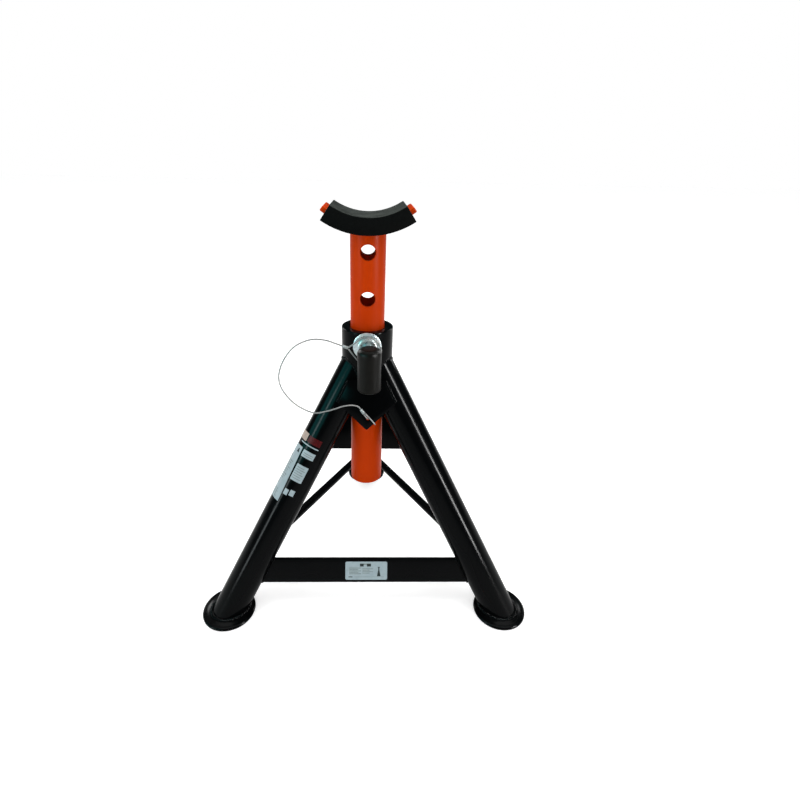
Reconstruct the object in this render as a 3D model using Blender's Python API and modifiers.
"""Pin-type axle stand: a round ram with a curved padded saddle in a welded tripod of round tubes.

Metres, +Z up. The front (pin side) faces -Y. The origin is on the ground at the centre of the
stand's footprint box; the ram's axis is vertical at y = AXIS_Y.
"""
import math

import bmesh
import bpy
from mathutils import Matrix, Vector

MM = 0.001
GAP = 0.3 * MM                      # left between pieces that touch

# Tripod: three equal legs whose axes meet at the apex, on the ram's axis
LEG_RADIUS = 24.15 * MM
LEG_WALL = 3.2 * MM
APEX_Z = 389 * MM
FOOT_CIRCLE = 239 * MM              # ram axis to a leg's axis, at the ground
FOOT_RADIUS = 38.8 * MM
FOOT_THICK = 5 * MM
FRONT_LEFT, FRONT_RIGHT, REAR = 210, 330, 90      # azimuths of the legs, degrees from +X
FRONT = -90                         # azimuth of the face between the front legs

# Guide tube that the ram slides in
GUIDE_RADIUS = 36.7 * MM
GUIDE_BORE = 24.7 * MM
GUIDE_BOTTOM = 296 * MM
GUIDE_TOP = 419 * MM
GUIDE_PIN_HOLE = 10.9 * MM

# Ram
RAM_RADIUS = 24.15 * MM
RAM_WALL = 6 * MM
RAM_BOTTOM = 164 * MM
RAM_HOLE_RADIUS = 10.9 * MM
RAM_HOLE_PITCH = 62.3 * MM
HOLES_ABOVE_PIN = 2
HOLES_BELOW_PIN = 1

# Pin: a shank with a collar at its front end, a loose washer, and a moulded grip that hangs down
PIN_RADIUS = 10.2 * MM
PIN_Z = 401.3 * MM
PIN_BACK = 50 * MM
WASHER_RADIUS = 19.6 * MM
WASHER_THICK = 3 * MM
COLLAR_RADIUS = 13.2 * MM
SPIGOT_RADIUS = 6.5 * MM
GRIP_X = 3 * MM
GRIP_Y = -64 * MM
GRIP_RADIUS = 16.3 * MM
GRIP_TOP = 408.5 * MM
GRIP_DOME = 8 * MM                  # rounding of the grip's upper end
GRIP_BOTTOM = 347 * MM

# Saddle: arcs about an axis along Y, above the ram
SADDLE_AXIS_Z = 657 * MM
PAD_INNER = 86 * MM
PAD_OUTER = 108 * MM
PAD_DEPTH = 84 * MM
PAD_HALF_ANGLE = 33.5
PLATE_INNER = 93 * MM
PLATE_OUTER = 100 * MM
PLATE_DEPTH = 60 * MM
PLATE_HALF_ANGLE = 37.6
ARC_FACETS = 33                     # odd, so that the lowest facet is level

# Gussets, crossbar and braces
GUSSET_THICK = 5 * MM
BAR_HEIGHT = 38 * MM
BAR_THICK = 6 * MM
BAR_Z = 61 * MM
BRACE_RADIUS = 6.7 * MM
BRACE_Z = 95 * MM

# Steel cable, with a crimped eye round the pin's collar and another through the front gusset
WIRE_RADIUS = 1 * MM
FERRULE_RADIUS = 2.3 * MM
FERRULE_LENGTH = 8 * MM
EYE_GAP = 0.9 * MM                  # ferrule to the ends of its eye
EYE_Y = -43.8 * MM
EYE_RADIUS = 19 * MM
TETHER_HOLE = (1.9 * MM, -102.5 * MM)           # across and along the front gusset's face
TETHER_HOLE_RADIUS = 2.7 * MM
EYE_TURN = (10 * MM, -110 * MM)                 # where the lower eye rounds the gusset's edge

# Route of the cable in mm from the ram's axis at the ground: from the lower ferrule out to the
# left, up and round to the upper ferrule
WIRE_ROUTE = [
    (-8.6, -57.6, 314.7), (-11.2, -57.0, 317.7), (-15.5, -58.0, 320.3), (-22.5, -60.5, 322.3),
    (-33.0, -63.5, 322.0),
    (-54.0, -66.0, 316.0), (-74.0, -66.5, 313.5), (-97.0, -66.0, 325.5), (-113.0, -63.5, 343.5),
    (-119.0, -61.0, 360.0), (-117.0, -57.5, 376.0), (-109.0, -54.0, 392.0), (-96.0, -49.5, 405.5),
    (-76.0, -45.3, 413.0), (-57.0, -44.0, 412.0), (-43.0, -43.8, 407.3), (-33.9, -43.8, 403.9),
]

# Labels
BAR_LABEL = (63.5 * MM, 29 * MM)
BAR_LABEL_X = 1.5 * MM              # to the right of the bar's middle
LEG_LABEL_ALONG = (194 * MM, 309 * MM)          # up the leg's axis from the ground
LEG_LABEL_ANGLES = (-42, 76)        # round the tube, from its outermost line towards the front
LABEL_THICK = 0.4 * MM

MERGE = 0.00001
SPREAD = FOOT_CIRCLE / APEX_Z                         # a leg's outward run for each unit of drop
AXIS_Y = -(FOOT_CIRCLE - FOOT_CIRCLE * math.cos(math.radians(60))) / 2

BLACK = ((0.012, 0.013, 0.014, 1), 0.25, 0.0)
ORANGE = ((0.62, 0.075, 0.004, 1), 0.32, 0.0)
RUBBER = ((0.02, 0.021, 0.02, 1), 0.7, 0.0)
ZINC = ((0.6, 0.63, 0.64, 1), 0.35, 0.9)
CABLE = ((0.5, 0.5, 0.5, 1), 0.35, 0.9)
LABEL = ((0.6, 0.63, 0.63, 1), 0.4, 0.2)


# --- Scene helpers ---------------------------------------------------------------------------

def clear_scene():
    for obj in list(bpy.data.objects):
        bpy.data.objects.remove(obj)


def new_collection(name):
    collection = bpy.data.collections.new(name)
    bpy.context.scene.collection.children.link(collection)
    return collection


def make_material(name, look):
    colour, roughness, metallic = look
    material = bpy.data.materials.new(name)
    material.use_nodes = True
    shader = material.node_tree.nodes["Principled BSDF"]
    shader.inputs["Base Color"].default_value = colour
    shader.inputs["Roughness"].default_value = roughness
    shader.inputs["Metallic"].default_value = metallic
    return material


def add_part(name, data, look, matrix=None):
    """A part in the stand's own axes, whose origin is on the ground under the ram."""
    obj = bpy.data.objects.new(name, data)
    data.materials.clear()
    data.materials.append(make_material(name, look))
    PARTS.objects.link(obj)
    obj.parent = STAND
    obj.matrix_local = matrix or Matrix()
    return obj


def add_cutter(name, data, matrix=None):
    obj = bpy.data.objects.new(name, data)
    CUTTERS.objects.link(obj)
    obj.parent = STAND
    obj.matrix_local = matrix or Matrix()
    obj.hide_render = True
    obj.display_type = "WIRE"
    return obj


def cut(obj, cutter):
    modifier = obj.modifiers.new("cut", "BOOLEAN")
    modifier.operation = "DIFFERENCE"
    modifier.solver = "EXACT"
    modifier.object = cutter


def bevel(obj, width, segments=2):
    modifier = obj.modifiers.new("bevel", "BEVEL")
    modifier.width = width
    modifier.segments = segments
    modifier.limit_method = "ANGLE"
    modifier.angle_limit = math.radians(40)


def smooth(obj, degrees=35):
    obj.data.shade_smooth()
    obj.data.set_sharp_from_angle(angle=math.radians(degrees))


# --- Meshes ----------------------------------------------------------------------------------

def mesh_from(bm, name):
    mesh = bpy.data.meshes.new(name)
    bmesh.ops.recalc_face_normals(bm, faces=bm.faces)
    bm.to_mesh(mesh)
    bm.free()
    return mesh


def cylinder_mesh(name, radius, low, high, segments=48):
    bm = bmesh.new()
    bmesh.ops.create_cone(bm, cap_ends=True, segments=segments, radius1=radius, radius2=radius,
                          depth=high - low)
    bmesh.ops.translate(bm, verts=bm.verts, vec=(0, 0, (low + high) / 2))
    return mesh_from(bm, name)


def box_mesh(name, size, centre=(0, 0, 0)):
    bm = bmesh.new()
    bmesh.ops.create_cube(bm, size=1)
    bmesh.ops.scale(bm, verts=bm.verts, vec=size)
    bmesh.ops.translate(bm, verts=bm.verts, vec=centre)
    return mesh_from(bm, name)


def profile_mesh(name, points, closed):
    """A line through (radius, height) points at +X, to be turned by a Screw modifier."""
    mesh = bpy.data.meshes.new(name)
    count = len(points)
    edges = [(i, (i + 1) % count) for i in range(count if closed else count - 1)]
    mesh.from_pydata([(r, 0, z) for r, z in points], edges, [])
    return mesh


def turn(obj, steps=48):
    modifier = obj.modifiers.new("turn", "SCREW")
    modifier.steps = steps
    modifier.render_steps = steps
    modifier.use_merge_vertices = True
    modifier.merge_threshold = MERGE
    modifier.use_smooth_shade = True


def tube_profile(outer, inner, low, high, chamfer=0.0):
    """Outer side from top to bottom, then the inner side from bottom to top."""
    return [(outer - chamfer, high), (outer, high - chamfer), (outer, low + chamfer),
            (outer - chamfer, low), (inner, low), (inner, high)] if chamfer else [
            (outer, high), (outer, low), (inner, low), (inner, high)]


def flat_plate(name, outlines, thickness):
    """A 2D curve whose further outlines are holes, filled and extruded both ways."""
    curve = bpy.data.curves.new(name, "CURVE")
    curve.dimensions = "2D"
    curve.fill_mode = "BOTH"
    curve.extrude = thickness / 2
    for outline in outlines:
        spline = curve.splines.new("POLY")
        spline.points.add(len(outline) - 1)
        for point, (x, y) in zip(spline.points, outline):
            point.co = (x, y, 0, 1)
        spline.use_cyclic_u = True
    return curve


def circle(x, y, radius, count=24):
    steps = [2 * math.pi * i / count for i in range(count)]
    return [(x + radius * math.cos(a), y + radius * math.sin(a)) for a in steps]


def arc_band(inner, outer, half_angle, count):
    """A band of a ring that hangs below its centre, in the XY plane."""
    angles = [math.radians(-90 - half_angle + 2 * half_angle * i / count) for i in range(count + 1)]
    low = [(outer * math.cos(a), outer * math.sin(a)) for a in angles]
    return low + [(inner * math.cos(a), inner * math.sin(a)) for a in reversed(angles)]


def wire_curve(name, points, radius):
    curve = bpy.data.curves.new(name, "CURVE")
    curve.dimensions = "3D"
    curve.bevel_depth = radius
    curve.bevel_resolution = 2
    curve.use_fill_caps = True
    spline = curve.splines.new("POLY")
    spline.points.add(len(points) - 1)
    for point, co in zip(spline.points, points):
        point.co = (*co, 1)
    return curve


def smooth_route(points, spacing):
    """Catmull-Rom curve through the route's points, read at even spacing."""
    count = len(points)
    dense = []
    for i in range(count - 1):
        a, b, c, d = (points[min(max(i + k, 0), count - 1)] for k in (-1, 0, 1, 2))
        for step in range(24):
            t = step / 24
            dense.append(0.5 * (2 * b + (c - a) * t + (2 * a - 5 * b + 4 * c - d) * t * t
                                + (3 * b - a - 3 * c + d) * t ** 3))
    dense.append(points[-1])
    lengths = [0.0]
    for p, q in zip(dense, dense[1:]):
        lengths.append(lengths[-1] + (q - p).length)
    pieces = max(4, round(lengths[-1] / spacing))
    result = []
    k = 0
    for i in range(pieces + 1):
        target = lengths[-1] * i / pieces
        while k < len(lengths) - 2 and lengths[k + 1] < target:
            k += 1
        t = (target - lengths[k]) / (lengths[k + 1] - lengths[k])
        result.append(dense[k].lerp(dense[k + 1], t))
    return result


def as_mesh(obj):
    """Swap a curve object for the mesh that it evaluates to, with its caps welded."""
    graph = bpy.context.evaluated_depsgraph_get()
    mesh = bpy.data.meshes.new_from_object(obj.evaluated_get(graph))
    bm = bmesh.new()
    bm.from_mesh(mesh)
    bmesh.ops.remove_doubles(bm, verts=bm.verts, dist=MERGE)
    bmesh.ops.recalc_face_normals(bm, faces=bm.faces)
    bm.to_mesh(mesh)
    bm.free()
    name = obj.name
    matrix = obj.matrix_local.copy()
    bpy.data.objects.remove(obj)
    fresh = bpy.data.objects.new(name, mesh)
    fresh.name = name
    PARTS.objects.link(fresh)
    fresh.parent = STAND
    fresh.matrix_local = matrix
    return fresh


# --- Places on the tripod --------------------------------------------------------------------

def leg_point(azimuth, z):
    """The point of a leg's axis at height z."""
    run = SPREAD * (APEX_Z - z)
    a = math.radians(azimuth)
    return Vector((run * math.cos(a), run * math.sin(a), z))


def leg_matrix(azimuth):
    """Local Z up the leg's axis from the ground, local X away from the ram."""
    foot = leg_point(azimuth, 0)
    up = (leg_point(azimuth, APEX_Z) - foot).normalized()
    a = math.radians(azimuth)
    out = Vector((math.cos(a), math.sin(a), 0))
    out = (out - out.dot(up) * up).normalized()
    side = up.cross(out)
    return Matrix.Translation(foot) @ Matrix((out, side, up)).transposed().to_4x4()


def face_matrix(middle, offset):
    """A frame on the plane through two legs' axes, moved outwards by offset.

    Local X runs across, local Y up the plane's middle line, local Z outwards. Its origin is
    level with the apex.
    """
    a = math.radians(middle)
    down = Vector((SPREAD / 2 * math.cos(a), SPREAD / 2 * math.sin(a), -1)).normalized()
    across = Vector((-math.sin(a), math.cos(a), 0))
    out = across.cross(-down)
    origin = Vector((0, 0, APEX_Z)) + out * offset
    return Matrix.Translation(origin) @ Matrix((across, -down, out)).transposed().to_4x4()


FACE_SLOPE = math.hypot(SPREAD / 2, 1)                       # plane length for each unit of drop
FACE_SPREAD = SPREAD * math.sin(math.radians(60)) / FACE_SLOPE


def leg_cutter(name, azimuth):
    length = (leg_point(azimuth, APEX_Z) - leg_point(azimuth, 0)).length
    mesh = cylinder_mesh(name, LEG_RADIUS + GAP, -60 * MM, length)
    return add_cutter(name, mesh, leg_matrix(azimuth))


# --- Tripod ----------------------------------------------------------------------------------

def build_guide():
    profile = tube_profile(GUIDE_RADIUS, GUIDE_BORE, GUIDE_BOTTOM, GUIDE_TOP, 2.5 * MM)
    guide = add_part("guide_tube", profile_mesh("guide_tube", profile, True), BLACK)
    turn(guide, 64)
    along_y = Matrix.Translation((0, 0, PIN_Z)) @ Matrix.Rotation(math.radians(90), 4, "X")
    hole = cylinder_mesh("guide_pin_hole", GUIDE_PIN_HOLE, -60 * MM, 60 * MM, 32)
    cut(guide, add_cutter("guide_pin_hole", hole, along_y))


def build_leg(name, azimuth, guide_cutter, ground_cutter):
    length = (leg_point(azimuth, APEX_Z) - leg_point(azimuth, 0)).length
    profile = tube_profile(LEG_RADIUS, LEG_RADIUS - LEG_WALL, -25 * MM, length)
    leg = add_part(name, profile_mesh(name, profile, True), BLACK, leg_matrix(azimuth))
    turn(leg, 48)
    cut(leg, guide_cutter)
    cut(leg, ground_cutter)


def build_foot(name, azimuth):
    rim = 2.5 * MM
    profile = [(0, FOOT_THICK), (FOOT_RADIUS - rim, FOOT_THICK), (FOOT_RADIUS, FOOT_THICK - rim),
               (FOOT_RADIUS, 1 * MM), (FOOT_RADIUS - 1 * MM, 0), (0, 0)]
    foot = add_part(name, profile_mesh(name, profile, False), BLACK,
                    Matrix.Translation(leg_point(azimuth, 0)))
    turn(foot, 48)


def build_legs():
    guide = cylinder_mesh("guide_cutter", GUIDE_RADIUS + GAP, GUIDE_BOTTOM - GAP, 520 * MM, 64)
    guide_cutter = add_cutter("guide_cutter", guide)
    slab = box_mesh("ground_cutter", (1, 1, 0.2), (0, 0, FOOT_THICK + GAP - 0.1))
    ground_cutter = add_cutter("ground_cutter", slab)
    for side, azimuth in (("front_left", FRONT_LEFT), ("front_right", FRONT_RIGHT), ("rear", REAR)):
        build_leg("leg_" + side, azimuth, guide_cutter, ground_cutter)
        build_foot("foot_" + side, azimuth)


# --- Gussets, crossbar and braces ------------------------------------------------------------

def build_gusset():
    """A plate with a pointed lower end, laid on the front legs, with the cable's hole."""
    top, shoulder, tip = 47 * MM, 80.5 * MM, 119.5 * MM
    outline = [(-FACE_SPREAD * top, -top), (-FACE_SPREAD * shoulder, -shoulder), (0, -tip),
               (FACE_SPREAD * shoulder, -shoulder), (FACE_SPREAD * top, -top)]
    hole = circle(TETHER_HOLE[0], TETHER_HOLE[1], TETHER_HOLE_RADIUS, 16)
    plate = flat_plate("gusset_front", [outline, hole], GUSSET_THICK)
    add_part("gusset_front", plate, BLACK,
             face_matrix(FRONT, LEG_RADIUS + GAP + GUSSET_THICK / 2))


def build_wing(name, side, ram_cutter):
    """A plate from a front leg's inner side to the ram, under the guide tube."""
    top, bottom, inner = 91.5 * MM, 161 * MM, 23.4 * MM
    outline = [(inner, -top), (inner, -bottom), (FACE_SPREAD * bottom, -bottom),
               (FACE_SPREAD * top, -top)]
    plate = flat_plate(name, [[(side * x, y) for x, y in outline]], GUSSET_THICK)
    matrix = face_matrix(FRONT, -(LEG_RADIUS + GAP + GUSSET_THICK / 2))
    plate = as_mesh(add_part(name, plate, BLACK, matrix))
    plate.data.materials.clear()
    plate.data.materials.append(make_material(name, BLACK))
    cut(plate, ram_cutter)


def build_crossbar(left, right):
    drop = (APEX_Z - BAR_Z) * FACE_SLOPE
    width = 2 * FACE_SPREAD * drop
    matrix = face_matrix(FRONT, 0) @ Matrix.Translation((0, -drop, 0))
    bar = add_part("front_crossbar", box_mesh("front_crossbar", (width, BAR_HEIGHT, BAR_THICK)),
                   BLACK, matrix)
    cut(bar, left)
    cut(bar, right)


def build_brace(name, front, front_cutter, rear_cutter):
    start, end = leg_point(front, BRACE_Z), leg_point(REAR, BRACE_Z)
    axis = end - start
    matrix = Matrix.Translation(start) @ axis.to_track_quat("Z", "Y").to_matrix().to_4x4()
    brace = add_part(name, cylinder_mesh(name, BRACE_RADIUS, 0, axis.length, 24), BLACK, matrix)
    cut(brace, front_cutter)
    cut(brace, rear_cutter)
    smooth(brace)


def build_frame_members():
    left = leg_cutter("leg_cutter_left", FRONT_LEFT)
    right = leg_cutter("leg_cutter_right", FRONT_RIGHT)
    rear = leg_cutter("leg_cutter_rear", REAR)
    build_gusset()
    ram = cylinder_mesh("ram_cutter", RAM_RADIUS + GAP, RAM_BOTTOM, APEX_Z, 64)
    ram_cutter = add_cutter("ram_cutter", ram)
    build_wing("gusset_wing_left", -1, ram_cutter)
    build_wing("gusset_wing_right", 1, ram_cutter)
    build_crossbar(left, right)
    build_brace("side_brace_left", FRONT_LEFT, left, rear)
    build_brace("side_brace_right", FRONT_RIGHT, right, rear)


# --- Ram and saddle --------------------------------------------------------------------------

def saddle_cutter(name, inner, outer, half_angle, depth):
    band = flat_plate(name, [arc_band(inner, outer, half_angle, ARC_FACETS)], depth)
    return as_cutter(add_part(name, band, BLACK, saddle_matrix()))


def as_cutter(obj):
    solid = as_mesh(obj)
    PARTS.objects.unlink(solid)
    CUTTERS.objects.link(solid)
    solid.hide_render = True
    solid.display_type = "WIRE"
    return solid


def saddle_matrix():
    """Local XY is the saddle's section, upright; local Z is towards the front."""
    return Matrix.Translation((0, 0, SADDLE_AXIS_Z)) @ Matrix.Rotation(math.radians(90), 4, "X")


def build_ram():
    top = SADDLE_AXIS_Z - PLATE_OUTER + 10 * MM
    profile = tube_profile(RAM_RADIUS, RAM_RADIUS - RAM_WALL, RAM_BOTTOM, top)
    ram = add_part("ram_tube", profile_mesh("ram_tube", profile, True), ORANGE)
    turn(ram, 64)
    play = RAM_HOLE_RADIUS - PIN_RADIUS - GAP
    for i in range(-HOLES_BELOW_PIN, HOLES_ABOVE_PIN + 1):
        z = PIN_Z - play + i * RAM_HOLE_PITCH
        matrix = Matrix.Translation((0, 0, z)) @ Matrix.Rotation(math.radians(90), 4, "X")
        hole = cylinder_mesh("ram_hole", RAM_HOLE_RADIUS, -50 * MM, 50 * MM, 40)
        cut(ram, add_cutter(f"ram_hole_{i + HOLES_BELOW_PIN + 1}", hole, matrix))
    under = saddle_cutter("ram_top_cutter", PLATE_OUTER - 30 * MM, PLATE_OUTER + GAP, 60, 120 * MM)
    cut(ram, under)


def build_saddle():
    plate = flat_plate("saddle_plate", [arc_band(PLATE_INNER, PLATE_OUTER, PLATE_HALF_ANGLE,
                                                 ARC_FACETS)], PLATE_DEPTH)
    plate = as_mesh(add_part("saddle_plate", plate, ORANGE, saddle_matrix()))
    plate.data.materials.clear()
    plate.data.materials.append(make_material("saddle_plate", ORANGE))
    bevel(plate, 1.2 * MM)
    band = flat_plate("saddle_pad", [arc_band(PAD_INNER, PAD_OUTER, PAD_HALF_ANGLE, ARC_FACETS)],
                      PAD_DEPTH)
    pad = as_mesh(add_part("saddle_pad", band, RUBBER, saddle_matrix()))
    bevel(pad, 1.2 * MM)
    slot = saddle_cutter("pad_slot", PLATE_INNER - GAP, PLATE_OUTER + GAP, 60, PLATE_DEPTH + 2 * GAP)
    cut(pad, slot)
    mouth = cylinder_mesh("pad_mouth", RAM_RADIUS + GAP, 500 * MM, SADDLE_AXIS_Z - 96 * MM, 64)
    cut(pad, add_cutter("pad_mouth", mouth))


# --- Pin -------------------------------------------------------------------------------------

def pin_matrix(y):
    """Origin on the pin's axis at depth y, local Z towards the back."""
    return Matrix.Translation((0, y, PIN_Z)) @ Matrix.Rotation(math.radians(-90), 4, "X")


def build_pin():
    washer_front = -GUIDE_RADIUS - 2 * GAP - WASHER_THICK
    grip_back = GRIP_Y + GRIP_RADIUS
    spigot_end = GRIP_Y
    nose = 2.5 * MM
    profile = [(0, PIN_BACK), (PIN_RADIUS - nose, PIN_BACK), (PIN_RADIUS, PIN_BACK - nose),
               (PIN_RADIUS, washer_front - GAP), (COLLAR_RADIUS - 0.6 * MM, washer_front - GAP),
               (COLLAR_RADIUS, washer_front - GAP - 0.6 * MM),
               (COLLAR_RADIUS, grip_back + GAP + 0.6 * MM), (COLLAR_RADIUS - 0.6 * MM, grip_back + GAP),
               (SPIGOT_RADIUS, grip_back + GAP), (SPIGOT_RADIUS, spigot_end), (0, spigot_end)]
    shank = add_part("pin_shank", profile_mesh("pin_shank", profile, False), ZINC, pin_matrix(0))
    turn(shank, 40)

    profile = tube_profile(WASHER_RADIUS, PIN_RADIUS + GAP, 0, WASHER_THICK, 0.8 * MM)
    washer = add_part("pin_washer", profile_mesh("pin_washer", profile, True), ZINC,
                      pin_matrix(washer_front))
    turn(washer, 48)

    low, high = GRIP_BOTTOM - PIN_Z, GRIP_TOP - PIN_Z
    profile = [(0, high)]
    for i in range(6):
        a = math.radians(18 * i)
        profile.append((GRIP_RADIUS - GRIP_DOME + GRIP_DOME * math.sin(a),
                        high - GRIP_DOME + GRIP_DOME * math.cos(a)))
    profile += [(GRIP_RADIUS, low + 2.5 * MM), (GRIP_RADIUS - 2.5 * MM, low), (0, low)]
    upright = Matrix.Translation((GRIP_X, GRIP_Y, PIN_Z))
    grip = add_part("pin_grip", profile_mesh("pin_grip", profile, False), RUBBER, upright)
    turn(grip, 48)
    socket = cylinder_mesh("grip_socket", SPIGOT_RADIUS + GAP, -GAP, 40 * MM, 32)
    cut(grip, add_cutter("grip_socket", socket, pin_matrix(spigot_end)))


# --- Cable -----------------------------------------------------------------------------------

def ferrule(name, start, end):
    """A crimped sleeve between two points."""
    axis = end - start
    matrix = Matrix.Translation(start) @ axis.to_track_quat("Z", "Y").to_matrix().to_4x4()
    sleeve = add_part(name, cylinder_mesh(name, FERRULE_RADIUS, 0, axis.length, 16), ZINC, matrix)
    bevel(sleeve, 0.5 * MM, 1)
    smooth(sleeve)


def build_upper_eye(last, heading):
    """A ferrule in line with the cable's last run, then a loop that hangs on the pin's collar."""
    start = last + heading * GAP
    end = start + heading * FERRULE_LENGTH
    ferrule("tether_ferrule_upper", start, end)
    mouth = end + heading * EYE_GAP
    centre_z = PIN_Z + COLLAR_RADIUS + GAP + WIRE_RADIUS - EYE_RADIUS
    towards = math.atan2(mouth.z - centre_z, mouth.x)
    reach = math.hypot(mouth.x, mouth.z - centre_z)
    open_half = math.acos(EYE_RADIUS / reach)
    spread = (WIRE_RADIUS + 0.15 * MM) * Vector((-heading.z, 0, heading.x))
    route = [mouth + spread]
    for i in range(17):
        a = towards - open_half - (2 * math.pi - 2 * open_half) * i / 16
        route.append(Vector((EYE_RADIUS * math.cos(a), EYE_Y, centre_z + EYE_RADIUS * math.sin(a))))
    route.append(mouth - spread)
    eye = wire_curve("tether_eye_upper", smooth_route(route, 3 * MM), WIRE_RADIUS)
    add_part("tether_eye_upper", eye, CABLE)


def build_lower_eye(first, heading):
    """A ferrule in front of the gusset, then a loop through its hole and round its edge."""
    start = first + heading * GAP
    end = start + heading * FERRULE_LENGTH
    ferrule("tether_ferrule_lower", start, end)
    plate = face_matrix(FRONT, LEG_RADIUS + GAP + GUSSET_THICK / 2)
    mouth = plate.inverted() @ (end + heading * EYE_GAP)
    hole = Vector((*TETHER_HOLE, 0))
    edge = Vector((*EYE_TURN, 0))
    away = (edge - hole).normalized()
    beside = Vector((-away.y, away.x, 0))
    out = Vector((0, 0, GUSSET_THICK / 2 + WIRE_RADIUS + 0.5 * MM))
    spread = (WIRE_RADIUS + 0.15 * MM) * beside
    route = [mouth - spread, hole - away * 2.4 * MM + out * 1.2, hole + out * 0.4,
             hole - out * 0.4, hole + away * 2.4 * MM - out * 1.15, edge - away * 2 * MM - out * 1.1,
             edge + away * 1.1 * MM - out * 0.9, edge + away * 2.2 * MM + spread * 0.6,
             edge + away * 1.1 * MM + out * 0.9 + spread, edge - away * 2 * MM + out * 1.1 + spread * 1.6,
             hole + out * 1.35 + spread * 2.4, mouth + spread]
    eye = wire_curve("tether_eye_lower", smooth_route([plate @ p for p in route], 1.8 * MM),
                     WIRE_RADIUS)
    add_part("tether_eye_lower", eye, CABLE)


def build_cable():
    route = [Vector(p) * MM for p in WIRE_ROUTE]
    add_part("tether_wire", wire_curve("tether_wire", smooth_route(route, 4.6 * MM), WIRE_RADIUS),
             CABLE)
    build_upper_eye(route[-1], (route[-1] - route[-2]).normalized())
    build_lower_eye(route[0], Vector((0.62, -0.25, -0.74)).normalized())


# --- Labels ----------------------------------------------------------------------------------

def build_bar_label():
    width, height = BAR_LABEL
    radius = 2.5 * MM
    outline = []
    for cx, cy, start in ((1, 1, 0), (-1, 1, 90), (-1, -1, 180), (1, -1, 270)):
        for i in range(5):
            a = math.radians(start + 22.5 * i)
            outline.append((cx * (width / 2 - radius) + radius * math.cos(a),
                            cy * (height / 2 - radius) + radius * math.sin(a)))
    drop = (APEX_Z - BAR_Z) * FACE_SLOPE
    matrix = face_matrix(FRONT, BAR_THICK / 2 + GAP + LABEL_THICK / 2)
    matrix = matrix @ Matrix.Translation((BAR_LABEL_X, -drop, 0))
    add_part("crossbar_label", flat_plate("crossbar_label", [outline], LABEL_THICK), LABEL, matrix)


def build_leg_label():
    """A thin film round the front of the left leg, made by turning a narrow section part of a turn."""
    inner = LEG_RADIUS + GAP
    profile = tube_profile(inner + LABEL_THICK, inner, *LEG_LABEL_ALONG)
    first, last = (math.radians(a) for a in LEG_LABEL_ANGLES)
    matrix = leg_matrix(FRONT_LEFT) @ Matrix.Rotation(first, 4, "Z")
    band = add_part("leg_label", profile_mesh("leg_label", profile, True), LABEL, matrix)
    modifier = band.modifiers.new("turn", "SCREW")
    modifier.angle = last - first
    modifier.steps = 16
    modifier.render_steps = 16
    modifier.use_merge_vertices = False
    return band


def close_label_ends(band):
    """Fill the two ends that a part turn leaves open."""
    graph = bpy.context.evaluated_depsgraph_get()
    mesh = bpy.data.meshes.new_from_object(band.evaluated_get(graph))
    bm = bmesh.new()
    bm.from_mesh(mesh)
    bmesh.ops.holes_fill(bm, edges=bm.edges, sides=0)
    bmesh.ops.recalc_face_normals(bm, faces=bm.faces)
    bm.to_mesh(mesh)
    bm.free()
    band.modifiers.clear()
    band.data = mesh


clear_scene()
PARTS = new_collection("axle_stand")
CUTTERS = new_collection("cutters")
STAND = bpy.data.objects.new("stand_axis", None)
PARTS.objects.link(STAND)
STAND.location = (0, AXIS_Y, 0)

build_guide()
build_legs()
build_frame_members()
build_ram()
build_saddle()
build_pin()
build_cable()
build_bar_label()
close_label_ends(build_leg_label())
